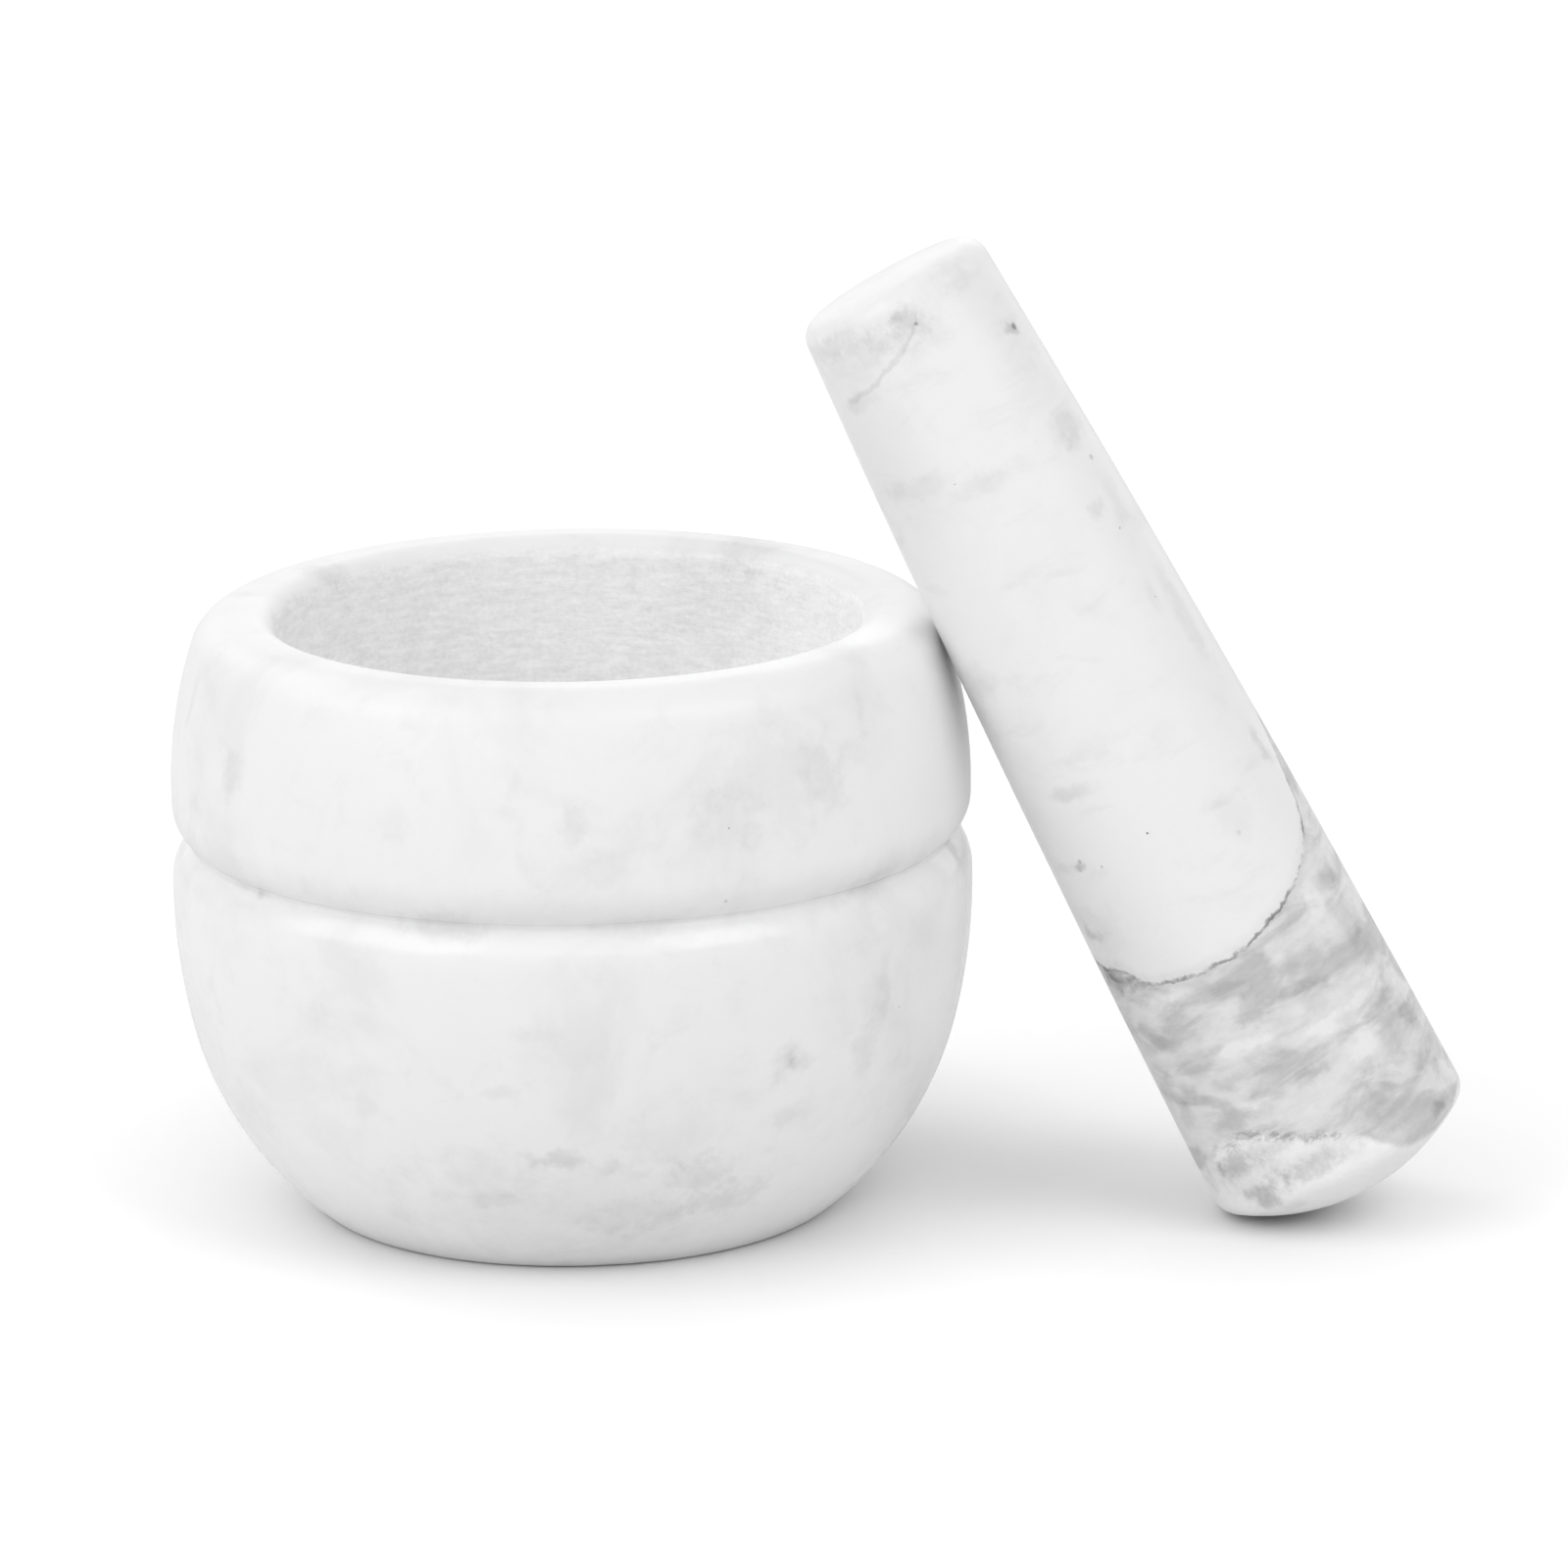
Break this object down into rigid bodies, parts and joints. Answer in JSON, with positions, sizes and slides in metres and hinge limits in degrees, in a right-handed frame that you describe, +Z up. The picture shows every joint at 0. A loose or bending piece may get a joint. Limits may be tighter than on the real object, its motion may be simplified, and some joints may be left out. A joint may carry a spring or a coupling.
{
  "type": "mortar and pestle",
  "caption": "Small turned marble mortar with a V-groove round its waist and a thick rounded rim, with a tapered pestle leaning on the rim.",
  "frame": {"origin": "centre of the mortar's flat foot, on the surface it stands on", "axes": "+Z up along the mortar's turning axis; +X from the mortar towards the foot of the pestle, whose axis lies in the XZ plane"},
  "size_m": [0.1611, 0.1, 0.1227],
  "materials": {
    "mortar_marble": "polished white marble with soft grey clouds outside, ground matte inside the bowl",
    "pestle_marble": "polished white marble, mottled grey below a thin dark vein near the grinding face"
  },
  "bodies": {
    "mortar": {"mortar": "mortar_marble"},
    "pestle": {"pestle": "pestle_marble"}
  },
  "joints": [
    {"name": "pestle_lift", "type": "slide", "parent": "mortar", "child": "pestle", "axis": [0, 0, 1], "range_m": [0, 0.1]}
  ]
}
